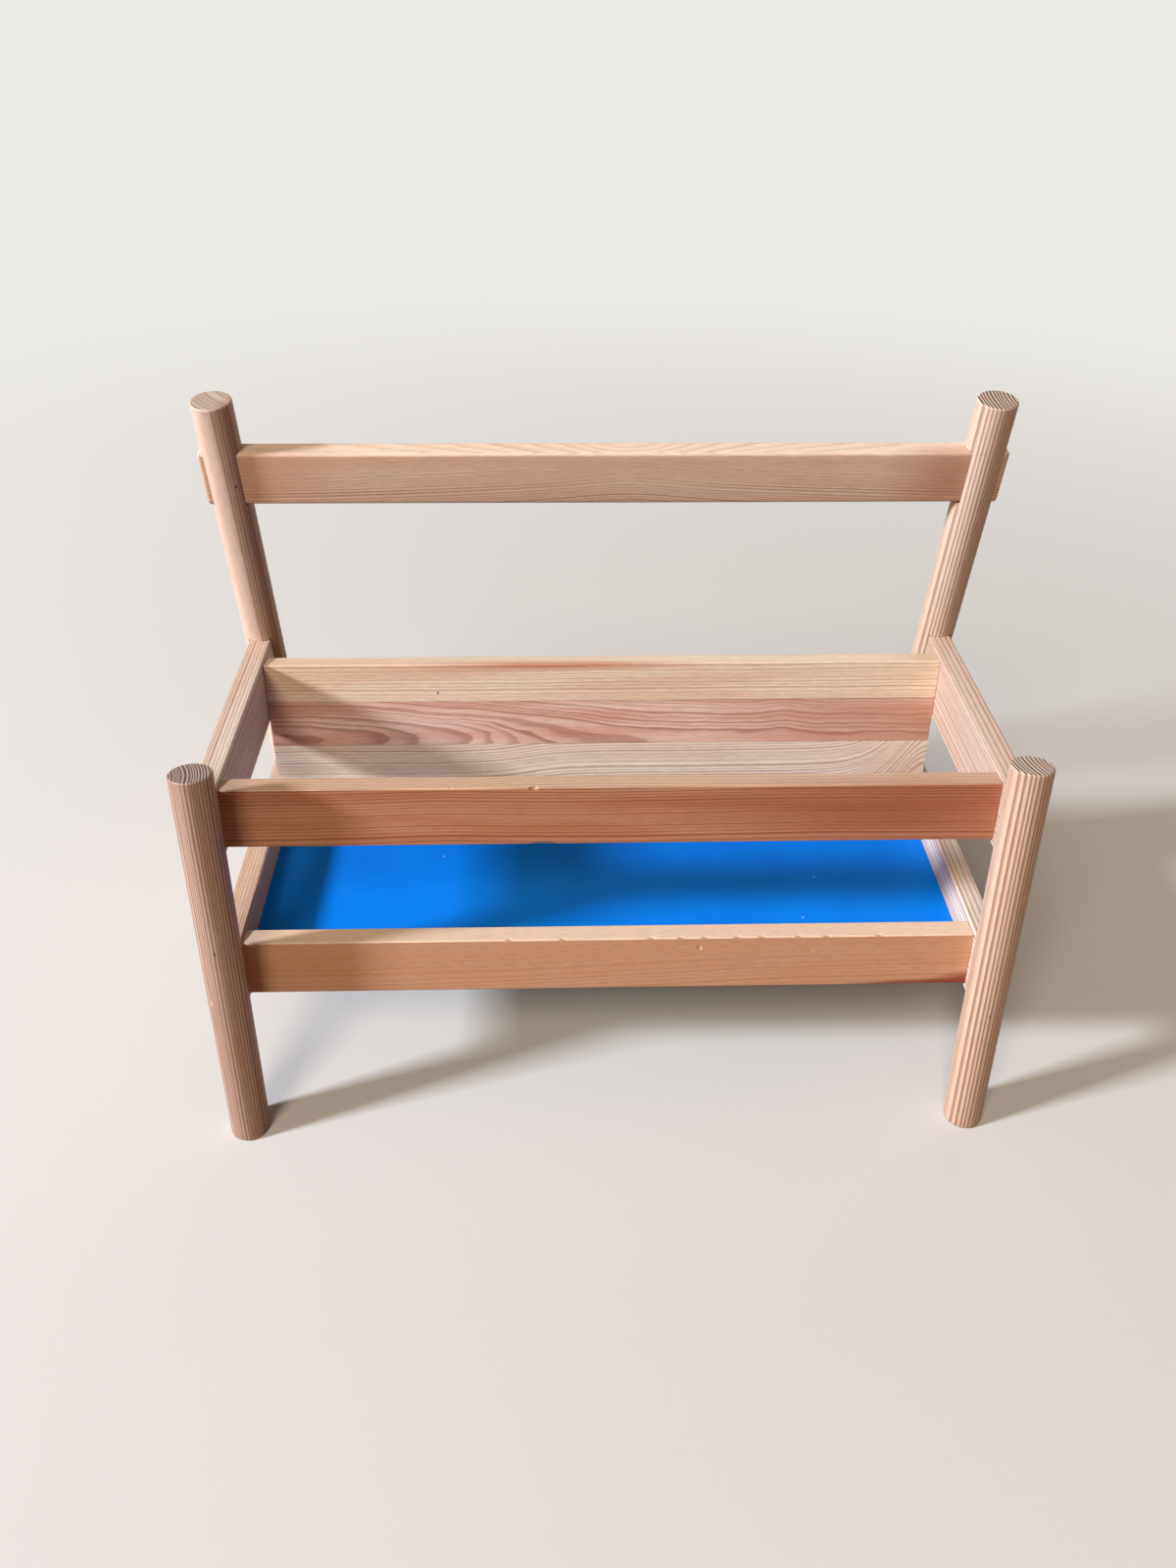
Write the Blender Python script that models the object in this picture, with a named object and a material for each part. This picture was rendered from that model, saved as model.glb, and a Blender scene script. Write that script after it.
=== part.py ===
"""A low slanted bookshelf: four round legs in two leaning pairs, joined by plank rails.

Metres, +Z up, +Y towards the back, +X to the right as one faces the front.
The origin is on the floor, in the middle between the four feet.
"""
import math

import bmesh
import bpy
from mathutils import Matrix, Vector

# Posts: the front pair leans back and the rear pair leans forward by the same angle
post_diameter = 0.0240
post_lean = math.radians(8.3)
post_spacing = 0.4540
foot_spacing = 0.2580
front_post_length = 0.2530
rear_post_length = 0.3980
post_edge = 0.0010

# Side rails: level planks from post to post, their ends let into the posts
side_rail_thickness = 0.0140
side_rail_height = 0.0420
upper_side_rail_top = 0.2293
lower_side_rail_top = 0.1265
rail_housing = 0.0060

# Front rails: planks between the side rails, a little behind the front posts
front_rail_thickness = 0.0145
front_rail_height = 0.0370
front_rail_setback = 0.0168
front_rail_drop = 0.0012

# Back panel: edge-glued staves between the side rails, parallel to the front rails
book_depth = 0.1185
panel_thickness = 0.0140
panel_drop = 0.0021
top_stave_width = 0.0263
upper_stave_width = 0.0314
lower_stave_width = 0.0400
bottom_stave_width = 0.0420

# Crossbar: a plank through slots in the rear posts
crossbar_thickness = 0.0140
crossbar_height = 0.0340
crossbar_overhang = 0.0015
crossbar_drop = 0.0303

# Tray: the blue board that the books stand on, let into grooves all round
tray_top = 0.1045
tray_thickness = 0.0040
tray_groove = 0.0050

# Dowels: hidden round pins across the joints
dowel_diameter = 0.0060
post_dowel_grip = 0.0090
rail_dowel_grip = 0.0140
side_dowel_grip = 0.0080
end_dowel_grip = 0.0200
front_dowel_margin = 0.0085
panel_dowel_high = 0.0145
panel_dowel_low = 0.0075

# Clearance between pieces that touch, and the rounding of the planks' edges
fit = 0.0003
plank_edge = 0.0012

post_radius = post_diameter / 2
dowel_radius = dowel_diameter / 2
inner_face = post_spacing / 2 - side_rail_thickness / 2
front_foot_y = -foot_spacing / 2
rear_foot_y = foot_spacing / 2
rail_end = post_radius - rail_housing
plank_half = inner_face - fit
panel_front = front_rail_setback + front_rail_thickness + book_depth


def clear_scene():
    """Removes every object that the new file starts with."""
    for item in list(bpy.data.objects):
        bpy.data.objects.remove(item, do_unlink=True)


def material(name, color, roughness):
    """Makes one Principled material with a plain colour."""
    made = bpy.data.materials.new(name)
    made.use_nodes = True
    shader = made.node_tree.nodes["Principled BSDF"]
    shader.inputs["Base Color"].default_value = (*color, 1.0)
    shader.inputs["Roughness"].default_value = roughness
    shader.inputs["Metallic"].default_value = 0.0
    made.diffuse_color = (*color, 1.0)
    return made


def lean_frame(name, foot_y, angle):
    """Makes an empty at a pair of feet, tilted so that its Z runs along the posts."""
    empty = bpy.data.objects.new(name, None)
    empty.empty_display_size = 0.05
    empty.location = (0.0, foot_y, 0.0)
    empty.rotation_euler = (angle, 0.0, 0.0)
    bpy.context.collection.objects.link(empty)
    return empty


def add_object(name, mesh, look, parent=None, location=(0.0, 0.0, 0.0)):
    """Places a mesh as a named object with its material."""
    piece = bpy.data.objects.new(name, mesh)
    piece.parent = parent
    piece.location = location
    if look is not None:
        mesh.materials.append(look)
    bpy.context.collection.objects.link(piece)
    return piece


def mesh_from(bm, name):
    """Turns a bmesh into a mesh whose faces point out."""
    bmesh.ops.recalc_face_normals(bm, faces=bm.faces)
    mesh = bpy.data.meshes.new(name)
    bm.to_mesh(mesh)
    bm.free()
    return mesh


def box_mesh(name, low, high):
    """Makes a box between two corners."""
    bm = bmesh.new()
    low = Vector(low)
    high = Vector(high)
    bmesh.ops.create_cube(bm, size=1.0)
    bmesh.ops.scale(bm, vec=high - low, verts=bm.verts)
    bmesh.ops.translate(bm, vec=(low + high) / 2, verts=bm.verts)
    return mesh_from(bm, name)


def prism_mesh(name, outline, x_low, x_high):
    """Extrudes a closed outline in Y and Z along X."""
    bm = bmesh.new()
    ring = [bm.verts.new((x_low, y, z)) for y, z in outline]
    face = bm.faces.new(ring)
    grown = bmesh.ops.extrude_face_region(bm, geom=[face])
    moved = [item for item in grown["geom"] if isinstance(item, bmesh.types.BMVert)]
    bmesh.ops.translate(bm, vec=(x_high - x_low, 0.0, 0.0), verts=moved)
    return mesh_from(bm, name)


def add_rod(bm, start, end, radius, sides):
    """Adds one closed cylinder between two points to a bmesh."""
    start = Vector(start)
    end = Vector(end)
    run = end - start
    turn = run.to_track_quat("Z", "Y").to_matrix().to_4x4()
    place = Matrix.Translation((start + end) / 2) @ turn
    bmesh.ops.create_cone(
        bm, cap_ends=True, segments=sides, radius1=radius, radius2=radius,
        depth=run.length, matrix=place)


def rod_mesh(name, rods, radius, sides=16):
    """Makes a mesh of one or more cylinders, each given by its two ends."""
    bm = bmesh.new()
    for start, end in rods:
        add_rod(bm, start, end, radius, sides)
    return mesh_from(bm, name)


def post_mesh(name, length, angle):
    """Makes a round post along Z, its foot cut level with the floor."""
    bm = bmesh.new()
    spare = post_diameter
    add_rod(bm, (0.0, 0.0, -spare), (0.0, 0.0, length), post_radius, 64)
    floor_normal = Vector((0.0, math.sin(angle), math.cos(angle)))
    cut_away = bmesh.ops.bisect_plane(
        bm, geom=bm.verts[:] + bm.edges[:] + bm.faces[:], plane_co=(0.0, 0.0, 0.0),
        plane_no=floor_normal, clear_inner=True)
    rim = [item for item in cut_away["geom_cut"] if isinstance(item, bmesh.types.BMEdge)]
    bmesh.ops.edgeloop_fill(bm, edges=rim)
    return mesh_from(bm, name)


def round_edges(piece, width, segments=2):
    """Rounds the sharp edges of a piece."""
    bevel = piece.modifiers.new("rounded edges", "BEVEL")
    bevel.width = width
    bevel.segments = segments
    bevel.limit_method = "ANGLE"
    bevel.angle_limit = math.radians(40)


def hide_cutter(cutter):
    """Keeps a cutting shape out of the finished model."""
    cutter.hide_render = True
    cutter.display_type = "WIRE"
    return cutter


def cut(piece, *cutters):
    """Cuts each shape out of a piece."""
    for cutter in cutters:
        knife = piece.modifiers.new("cut " + cutter.name, "BOOLEAN")
        knife.operation = "DIFFERENCE"
        knife.solver = "EXACT"
        knife.object = cutter


def smooth(piece):
    """Shades the round faces smooth and keeps the sharp edges."""
    piece.data.shade_smooth()
    piece.data.set_sharp_from_angle(angle=math.radians(35))


def front_point(x, back, along):
    """Turns a place in the front pair's leaning frame into world coordinates."""
    y = front_foot_y + back * math.cos(post_lean) + along * math.sin(post_lean)
    z = along * math.cos(post_lean) - back * math.sin(post_lean)
    return Vector((x, y, z))


def front_along(back, level):
    """Finds how far up the front pair's lean a level lies, at a depth behind the axes."""
    return (level + back * math.sin(post_lean)) / math.cos(post_lean)


def rail_ends(level, inset):
    """Finds where a level line meets planes at an inset from the post axes."""
    shift = level * math.tan(post_lean) + inset / math.cos(post_lean)
    return front_foot_y + shift, rear_foot_y - shift


def rail_outline(top, grow):
    """Draws a side rail from the side, with ends that follow the posts."""
    high = top + grow
    low = top - side_rail_height - grow
    front_high, rear_high = rail_ends(high, rail_end - grow)
    front_low, rear_low = rail_ends(low, rail_end - grow)
    return [(front_low, low), (rear_low, low), (rear_high, high), (front_high, high)]


clear_scene()

pine = material("pine", (0.66, 0.45, 0.27), 0.45)
pine_red = material("pine_red", (0.52, 0.24, 0.10), 0.45)
pine_honey = material("pine_honey", (0.60, 0.35, 0.17), 0.45)
pine_board = material("pine_board", (0.62, 0.38, 0.21), 0.45)
blue_paint = material("blue_paint", (0.0, 0.19, 0.74), 0.35)
beech = material("beech", (0.60, 0.42, 0.26), 0.60)

front_frame = lean_frame("front_frame", front_foot_y, -post_lean)
rear_frame = lean_frame("rear_frame", rear_foot_y, post_lean)
sides = (("left", -1), ("right", 1))

# Side rails, level, with a grown copy that cuts their housings in the posts
side_rails = []
housings = {}
for level_name, top in (("upper", upper_side_rail_top), ("lower", lower_side_rail_top)):
    for side_name, side in sides:
        name = level_name + "_side_rail_" + side_name
        middle = side * post_spacing / 2
        half = side_rail_thickness / 2
        plank = prism_mesh(name, rail_outline(top, 0.0), middle - half, middle + half)
        rail = add_object(name, plank, pine)
        round_edges(rail, plank_edge)
        half = half + fit
        grown = prism_mesh(name, rail_outline(top, fit), middle - half, middle + half)
        housings[name] = hide_cutter(add_object("housing_" + name, grown, None))
        side_rails.append((rail, level_name, side_name, side, top))

# Dowels from each side rail's ends into the posts
rail_pins = {}
for rail, level_name, side_name, side, top in side_rails:
    x = side * post_spacing / 2
    level = top - side_rail_height / 2
    front_end, rear_end = rail_ends(level, rail_end)
    rods = []
    holes = []
    for end_name, end, way in (("front", front_end, 1), ("rear", rear_end, -1)):
        outer = end - way * post_dowel_grip
        inner = end + way * rail_dowel_grip
        name = "dowel_" + level_name + "_" + side_name + "_" + end_name
        mesh = rod_mesh(name, [((x, outer, level), (x, inner, level))], dowel_radius)
        smooth(add_object(name, mesh, beech))
        holes.append(((x, outer - way * fit, level), (x, inner + way * fit, level)))
    drilled = rod_mesh("holes_" + rail.name, holes, dowel_radius + fit)
    rail_pins[rail.name] = hide_cutter(add_object("holes_" + rail.name, drilled, None))
    cut(rail, rail_pins[rail.name])

# Crossbar, centred on the rear posts' axes
bar_high = rear_post_length - crossbar_drop
bar_low = bar_high - crossbar_height
bar_half = crossbar_thickness / 2
bar_end = post_spacing / 2 + post_radius + crossbar_overhang
crossbar = add_object(
    "crossbar",
    box_mesh("crossbar", (-bar_end, -bar_half, bar_low), (bar_end, bar_half, bar_high)),
    pine, rear_frame)
round_edges(crossbar, plank_edge)
slot_mesh = box_mesh(
    "bar_slots",
    (-bar_end - post_diameter, -bar_half - fit, bar_low - fit),
    (bar_end + post_diameter, bar_half + fit, bar_high + fit))
bar_slots = hide_cutter(add_object("bar_slots", slot_mesh, None, rear_frame))

# Posts, with housings for the side rails, holes for the dowels and slots for the crossbar
for pair, frame, length, angle in (
        ("front", front_frame, front_post_length, -post_lean),
        ("rear", rear_frame, rear_post_length, post_lean)):
    for side_name, side in sides:
        name = pair + "_post_" + side_name
        mesh = post_mesh(name, length, angle)
        post = add_object(name, mesh, pine, frame, (side * post_spacing / 2, 0.0, 0.0))
        round_edges(post, post_edge)
        smooth(post)
        for level_name in ("upper", "lower"):
            rail_name = level_name + "_side_rail_" + side_name
            cut(post, housings[rail_name], rail_pins[rail_name])
        if pair == "rear":
            cut(post, bar_slots)

# Tray and the grown copy that cuts its grooves
tray_level = tray_top - tray_thickness / 2
tray_half = inner_face + tray_groove - fit
front_groove = front_rail_setback + front_rail_thickness - tray_groove
tray_front = front_point(0.0, front_groove, front_along(front_groove, tray_level)).y + fit
back_groove = panel_front + tray_groove
tray_back = front_point(0.0, back_groove, front_along(back_groove, tray_level)).y - fit
tray_low = (-tray_half, tray_front, tray_top - tray_thickness)
tray_high = (tray_half, tray_back, tray_top)
add_object("tray", box_mesh("tray", tray_low, tray_high), blue_paint)
groove_grow = Vector((fit, fit, fit))
groove_mesh = box_mesh("tray_grooves", Vector(tray_low) - groove_grow, Vector(tray_high) + groove_grow)
tray_grooves = hide_cutter(add_object("tray_grooves", groove_mesh, None))

# Front rails and back staves: planks in the front pair's leaning frame
front_planks = []
for level_name, rail_top in (("upper", upper_side_rail_top), ("lower", lower_side_rail_top)):
    top = front_along(front_rail_setback, rail_top - front_rail_drop)
    front_planks.append((
        level_name + "_front_rail", top, front_rail_height, front_rail_setback,
        front_rail_thickness, pine_red if level_name == "upper" else pine_honey))
stave_top = front_along(panel_front, upper_side_rail_top - panel_drop)
stave_edges = 0.0
for stave_name, width in (
        ("back_stave_top", top_stave_width), ("back_stave_upper", upper_stave_width),
        ("back_stave_lower", lower_stave_width), ("back_stave_bottom", bottom_stave_width)):
    front_planks.append((
        stave_name, stave_top - stave_edges, width - fit, panel_front, panel_thickness,
        pine_board))
    stave_edges = stave_edges + width

# Dowels from the ends of the front rails and the staves into the side rails
dowel_places = []
for name, top, height, front, thickness, look in front_planks:
    if name.endswith("front_rail"):
        middle = front + thickness / 2
        dowel_places.append((name + "_high", middle, top - front_dowel_margin))
        dowel_places.append((name + "_low", middle, top - height + front_dowel_margin))
panel_middle = panel_front + panel_thickness / 2
upper_rail_bottom = upper_side_rail_top - side_rail_height
for name, level in (
        ("panel_high", upper_side_rail_top - panel_dowel_high),
        ("panel_middle", upper_rail_bottom + panel_dowel_low),
        ("panel_low", lower_side_rail_top - panel_dowel_high)):
    dowel_places.append((name, panel_middle, front_along(panel_middle, level)))

end_holes = []
for name, back, along in dowel_places:
    for side_name, side in sides:
        outer = front_point(side * (inner_face + side_dowel_grip), back, along)
        inner = front_point(side * (plank_half - end_dowel_grip), back, along)
        label = "dowel_" + name + "_" + side_name
        smooth(add_object(label, rod_mesh(label, [(outer, inner)], dowel_radius), beech))
        reach = Vector((side * fit, 0.0, 0.0))
        end_holes.append((outer + reach, inner - reach))
end_hole_mesh = rod_mesh("end_holes", end_holes, dowel_radius + fit)
end_hole_cutter = hide_cutter(add_object("end_holes", end_hole_mesh, None))

for name, top, height, front, thickness, look in front_planks:
    mesh = box_mesh(
        name, (-plank_half, front, top - height), (plank_half, front + thickness, top))
    plank = add_object(name, mesh, look, front_frame)
    if name.endswith("front_rail"):
        round_edges(plank, plank_edge)
    cut(plank, end_hole_cutter, tray_grooves)
for rail, level_name, side_name, side, top in side_rails:
    cut(rail, end_hole_cutter, tray_grooves)
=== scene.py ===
# %% [markdown]
# # A small pine bookshelf, dressed for the camera
# The real thing is a low rack for a row of books. Four round legs stand in two leaning pairs,
# level planks join them at the sides, two planks and a board hold the books front and back,
# and a blue board is the shelf. The engineered model is loaded first and is never moved: it
# says where every piece goes. The wooden pieces that show are then modelled again, with
# rounder edges or small marks of use, and the tray keeps its engineered shape. Every piece
# gets a finish made only of shader nodes.

# %% Load the engineered model and keep its size
import math
import bpy
from mathutils import Matrix, Vector


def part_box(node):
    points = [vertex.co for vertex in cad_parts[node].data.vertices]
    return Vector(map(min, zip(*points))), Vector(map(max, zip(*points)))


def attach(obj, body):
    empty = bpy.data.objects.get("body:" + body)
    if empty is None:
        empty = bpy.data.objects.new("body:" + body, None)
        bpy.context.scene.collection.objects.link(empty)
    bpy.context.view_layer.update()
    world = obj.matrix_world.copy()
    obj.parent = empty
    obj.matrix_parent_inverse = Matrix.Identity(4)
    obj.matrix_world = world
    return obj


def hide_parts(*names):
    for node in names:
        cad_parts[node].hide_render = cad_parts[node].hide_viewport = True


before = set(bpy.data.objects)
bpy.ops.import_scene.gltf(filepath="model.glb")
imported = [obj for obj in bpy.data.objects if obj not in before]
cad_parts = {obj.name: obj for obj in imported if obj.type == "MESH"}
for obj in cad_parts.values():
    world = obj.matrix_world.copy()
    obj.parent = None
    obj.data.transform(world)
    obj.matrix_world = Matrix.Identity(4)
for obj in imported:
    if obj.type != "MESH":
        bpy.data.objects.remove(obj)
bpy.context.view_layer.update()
print("pieces in the engineered model:", len(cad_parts))

# %% [markdown]
# ## The two leaning directions
# The front legs lean back and the rear legs lean forward, both by the same angle. The planks
# between the side rails lean with the front legs, and the top bar leans with the rear legs.
# Working in these two leaning frames keeps each plank a plain block: a place is given as
# across (X), back from the legs' axes, and up along the legs.

# %% Sizes in metres, and places in the leaning frames
LEAN = math.radians(8.3)
POST_RADIUS = 0.012
POST_X = 0.227
FOOT_Y = 0.129
RAIL_THICK = 0.014
FRONT, REAR = -1, 1
LEG_LENGTHS = {FRONT: 0.253, REAR: 0.398}
# The gap between two pieces that meet, and how close two places count as the same
FIT = 0.0003
NEAR = 1e-5


def up_of(pair):
    """The direction along a pair's legs: the front pair is -1 and the rear pair is 1."""
    return Vector((0, -pair * math.sin(LEAN), math.cos(LEAN)))


def back_of(pair):
    """The direction square to a pair's legs, towards the back."""
    return Vector((0, math.cos(LEAN), pair * math.sin(LEAN)))


def place(pair, x, back, up):
    """A point in a pair's leaning frame, in world coordinates."""
    foot = Vector((x, pair * FOOT_Y, 0))
    return foot + back_of(pair) * back + up_of(pair) * up


def up_at(pair, back, level):
    """How far up the lean a height above the floor lies."""
    return (level - pair * back * math.sin(LEAN)) / math.cos(LEAN)


def height_up(pair, point):
    """How far up a pair's lean a point lies."""
    return (point - place(pair, 0, 0, 0)).dot(up_of(pair))


front_leg_top = place(FRONT, POST_X, 0, LEG_LENGTHS[FRONT])
print("front leg's top centre:", [round(v, 4) for v in front_leg_top])

# %% [markdown]
# ## Tools for modelling
# Operators act on everything that is selected, so each piece starts from an empty selection.
# A plank starts as a cube primitive at its size and place. Its edges are then rounded in edit
# mode, as a router bit would round them. Wide flat faces next to small round ones need their
# normals weighted by area, or the light bends near every edge.

# %% Helpers for selecting, starting, shaping and finishing a piece
# Any edge longer than this runs the length of a plank
LONG_EDGE = 0.15
# Faces that meet at less than this angle are shaded as one round surface
SMOOTH_UNDER = math.radians(32)
# How strongly a large face outweighs a small one, out of 100
AREA_WEIGHT = 60


def clear():
    """Deselects everything, so that the next operator only touches its own piece."""
    if bpy.context.object and bpy.context.object.mode != "OBJECT":
        bpy.ops.object.mode_set(mode="OBJECT")
    bpy.ops.object.select_all(action="DESELECT")


def only(piece):
    """Makes one object the selected and active one."""
    clear()
    piece.select_set(True)
    bpy.context.view_layer.objects.active = piece


def is_long(ends):
    """True for the two end points of an edge that runs the length of a plank."""
    return (ends[0] - ends[1]).length > LONG_EDGE


def round_edges(piece, test, radius, segments=4):
    """Rounds the edges whose two end points pass a test."""
    only(piece)
    mesh = piece.data
    bpy.ops.object.mode_set(mode="EDIT")
    bpy.ops.mesh.select_mode(type="EDGE")
    bpy.ops.mesh.select_all(action="DESELECT")
    bpy.ops.object.mode_set(mode="OBJECT")
    for edge in mesh.edges:
        edge.select = test([mesh.vertices[i].co for i in edge.vertices])
    bpy.ops.object.mode_set(mode="EDIT")
    bpy.ops.mesh.bevel(offset=radius, segments=segments, affect="EDGES")
    bpy.ops.object.mode_set(mode="OBJECT")


def trim(piece, point, direction, **cleared):
    """Cuts a piece off flat at a plane and clears one side of it."""
    only(piece)
    bpy.ops.object.mode_set(mode="EDIT")
    bpy.ops.mesh.select_all(action="SELECT")
    bpy.ops.mesh.bisect(plane_co=point, plane_no=direction, use_fill=True, **cleared)
    bpy.ops.object.mode_set(mode="OBJECT")


def bake_place(piece):
    """Moves an object's place and size into its mesh."""
    only(piece)
    bpy.ops.object.transform_apply(location=True, rotation=True, scale=True)


def apply_modifier(piece, kind, **settings):
    """Adds one modifier and applies it at once."""
    only(piece)
    modifier = piece.modifiers.new(kind.lower(), kind)
    for key, value in settings.items():
        setattr(modifier, key, value)
    bpy.ops.object.modifier_apply(modifier=modifier.name)


def cut(piece, *cutters):
    """Cuts shapes out of a piece with exact booleans."""
    for cutter in cutters:
        apply_modifier(piece, "BOOLEAN", operation="DIFFERENCE", solver="EXACT", object=cutter)


def finish_piece(piece, slot_name, *nodes):
    """Smooths the round parts, hangs the piece on the root and hides the engineered pieces it
    stands for.
    """
    only(piece)
    bpy.ops.object.shade_smooth_by_angle(angle=SMOOTH_UNDER)
    apply_modifier(piece, "WEIGHTED_NORMAL", keep_sharp=True, weight=AREA_WEIGHT)
    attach(piece, "root")
    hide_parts(*nodes)
    print(piece.name, "has", len(piece.data.vertices), "points")


def block(name, middle, size, turn=(0, 0, 0)):
    """Adds a cube primitive as a block of a size, turned about X."""
    clear()
    bpy.ops.mesh.primitive_cube_add(size=1, location=middle, rotation=turn)
    made = bpy.context.object
    made.name = name
    made.data.name = name
    made.scale = size
    bake_place(made)
    return made


# %% [markdown]
# ## Side rails
# Each side has an upper and a lower rail: a level plank on edge, its two ends cut to the slope
# of the legs. A cube can't start with sloping ends, so a longer block is cut with bisect, once
# for each leg, as a mitre saw would do it. The long edges are then rounded, and the ends run
# into the legs.

# %% A block with its ends cut to the slope of the legs
RAIL_HIGH = 0.042
RAIL_TOPS = {"upper": 0.2293, "lower": 0.1265}
RAIL_EDGE = 0.0013
# The block before it is cut, and how far short of a leg's axis the rail then ends
UNCUT_LENGTH = 0.4
SOCKET_END = 0.006
SIDES = {"left": -1, "right": 1}


def side_rail(name, x, top, grow=0.0):
    """Makes one side rail. With grow, it is the slightly larger shape that cuts its sockets."""
    size = (RAIL_THICK + 2 * grow, UNCUT_LENGTH, RAIL_HIGH + 2 * grow)
    rail = block(name, (x, 0, top - RAIL_HIGH / 2), size)
    for pair in (FRONT, REAR):
        end = place(pair, x, -pair * (SOCKET_END - grow), 0)
        trim(rail, end, back_of(pair) * pair, clear_outer=True)
    return rail


print("a rail is", RAIL_THICK, "m thick and", RAIL_HIGH, "m high")

# %% Make the four side rails, and the shapes that cut their sockets
side_rails = {}
sockets = {}
for level, top in RAIL_TOPS.items():
    for side, sign in SIDES.items():
        name = f"{level}_rail_{side}"
        rail = side_rail(name, sign * POST_X, top)
        round_edges(rail, is_long, RAIL_EDGE)
        side_rails[level, side] = rail
        sockets[level, side] = side_rail("socket_" + name, sign * POST_X, top, FIT)
clear()
print("side rails:", len(side_rails))

# %% [markdown]
# ## Top bar
# The bar is one plank that passes through a slot in each rear leg and shows a little outside
# it. Its ends show, so they get a rounder edge than the long edges.

# %% Make the top bar and the larger block that cuts its slots
BAR_DROP = 0.0303
BAR_TOP = LEG_LENGTHS[REAR] - BAR_DROP
BAR_HIGH = 0.034
BAR_OVERHANG = 0.0015
BAR_HALF = POST_X + POST_RADIUS + BAR_OVERHANG
BAR_END_EDGE, BAR_LONG_EDGE = 0.0022, 0.0018
# How much longer than needed the slots' block is, and a leg before its foot is cut
SPARE = 0.02


def at_bar_end(ends):
    """True for an edge that lies in one of the bar's two end faces."""
    return min(abs(e.x) for e in ends) > BAR_HALF - NEAR


bar_middle = place(REAR, 0, 0, BAR_TOP - BAR_HIGH / 2)
top_bar = block("top_bar", bar_middle, (2 * BAR_HALF, RAIL_THICK, BAR_HIGH), (LEAN, 0, 0))
round_edges(top_bar, at_bar_end, BAR_END_EDGE, segments=5)
round_edges(top_bar, is_long, BAR_LONG_EDGE, segments=5)
slot_size = (2 * BAR_HALF + SPARE, RAIL_THICK + 2 * FIT, BAR_HIGH + 2 * FIT)
bar_slot = block("bar_slot", bar_middle, slot_size, (LEAN, 0, 0))
print("bar reaches X =", round(BAR_HALF, 4))

# %% [markdown]
# ## Legs
# A leg is a turned pole 24 mm thick. A cylinder primitive with many sides is cut off level at
# the floor with bisect, and both rims are rounded: the top by a touch of sandpaper, the foot a
# little more. The sockets and slots are cut with the copies made above.

# %% Make the four legs
PAIR_NAMES = {FRONT: "front", REAR: "rear"}
LEG_SIDES = 96
FOOT_EDGE, LEG_TOP_EDGE = 0.0016, 0.0012


def leg(pair, side):
    """Makes one leg, its foot cut level with the floor."""
    x = SIDES[side] * POST_X
    length = LEG_LENGTHS[pair]
    clear()
    bpy.ops.mesh.primitive_cylinder_add(
        vertices=LEG_SIDES, radius=POST_RADIUS, depth=length + SPARE,
        location=place(pair, x, 0, (length - SPARE) / 2), rotation=(pair * LEAN, 0, 0))
    made = bpy.context.object
    made.name = f"{PAIR_NAMES[pair]}_leg_{side}"
    bake_place(made)
    trim(made, (0, 0, 0), (0, 0, 1), clear_inner=True)

    def at_foot(ends):
        """True for an edge that lies on the floor."""
        return max(e.z for e in ends) < NEAR

    def at_top(ends):
        """True for an edge that lies in the leg's top face."""
        return min(height_up(pair, e) for e in ends) > length - NEAR

    round_edges(made, at_foot, FOOT_EDGE)
    round_edges(made, at_top, LEG_TOP_EDGE)
    cut(made, sockets["upper", side], sockets["lower", side])
    if pair == REAR:
        cut(made, bar_slot)
    return made


legs = {(pair, side): leg(pair, side) for pair in PAIR_NAMES for side in SIDES}
print("legs:", sorted(item.name for item in legs.values()))

# %% [markdown]
# ## Front rails and the back board
# The front rails and the back board stand between the side rails and lean with the front legs.
# The back board is glued up from four staves. On the real one the glue lines show as thin
# seams, so each stave stays a piece of its own, with a hairline between them. Only the top
# stave has a rounded top edge.

# %% Make the two front rails and the four staves
INNER_X = POST_X - RAIL_THICK / 2
PLANK_HALF = INNER_X - FIT
SETBACK = 0.0168
FRONT_THICK = 0.0145
FRONT_HIGH = 0.037
BOOK_DEPTH = 0.1185
BOARD_FACE = SETBACK + FRONT_THICK + BOOK_DEPTH
BOARD_THICK = 0.014
# How far below the side rails' tops the front planks and the board end
FRONT_DROP, BOARD_DROP = 0.0012, 0.0021
FRONT_EDGE, BOARD_EDGE = 0.0012, 0.0011
STAVES = {"top": 0.0263, "upper": 0.0314, "lower": 0.0400, "bottom": 0.0420}


def lean_plank(name, top, high, face, thick):
    """Makes a plank across the shelf in the front legs' leaning frame."""
    middle = place(FRONT, 0, face + thick / 2, top - high / 2)
    return block(name, middle, (2 * PLANK_HALF, thick, high), (-LEAN, 0, 0))


front_rails = {}
front_tops = {}
for level, rail_top in RAIL_TOPS.items():
    front_tops[level] = up_at(FRONT, SETBACK, rail_top - FRONT_DROP)
    plank = lean_plank(
        f"{level}_front_plank", front_tops[level], FRONT_HIGH, SETBACK, FRONT_THICK)
    round_edges(plank, is_long, FRONT_EDGE)
    front_rails[level] = plank

board_top = up_at(FRONT, BOARD_FACE, RAIL_TOPS["upper"] - BOARD_DROP)
staves = {}
stave_tops = {}
edge_up = board_top
for name, width in STAVES.items():
    staves[name] = lean_plank(f"board_{name}", edge_up, width - FIT, BOARD_FACE, BOARD_THICK)
    stave_tops[name] = edge_up
    edge_up -= width


def on_board_top(ends):
    """True for a long edge at the top of the board."""
    return is_long(ends) and min(height_up(FRONT, e) for e in ends) > board_top - NEAR


round_edges(staves["top"], on_board_top, BOARD_EDGE)
print("the board reaches down to", round(place(FRONT, 0, BOARD_FACE, edge_up).z, 4))

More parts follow.
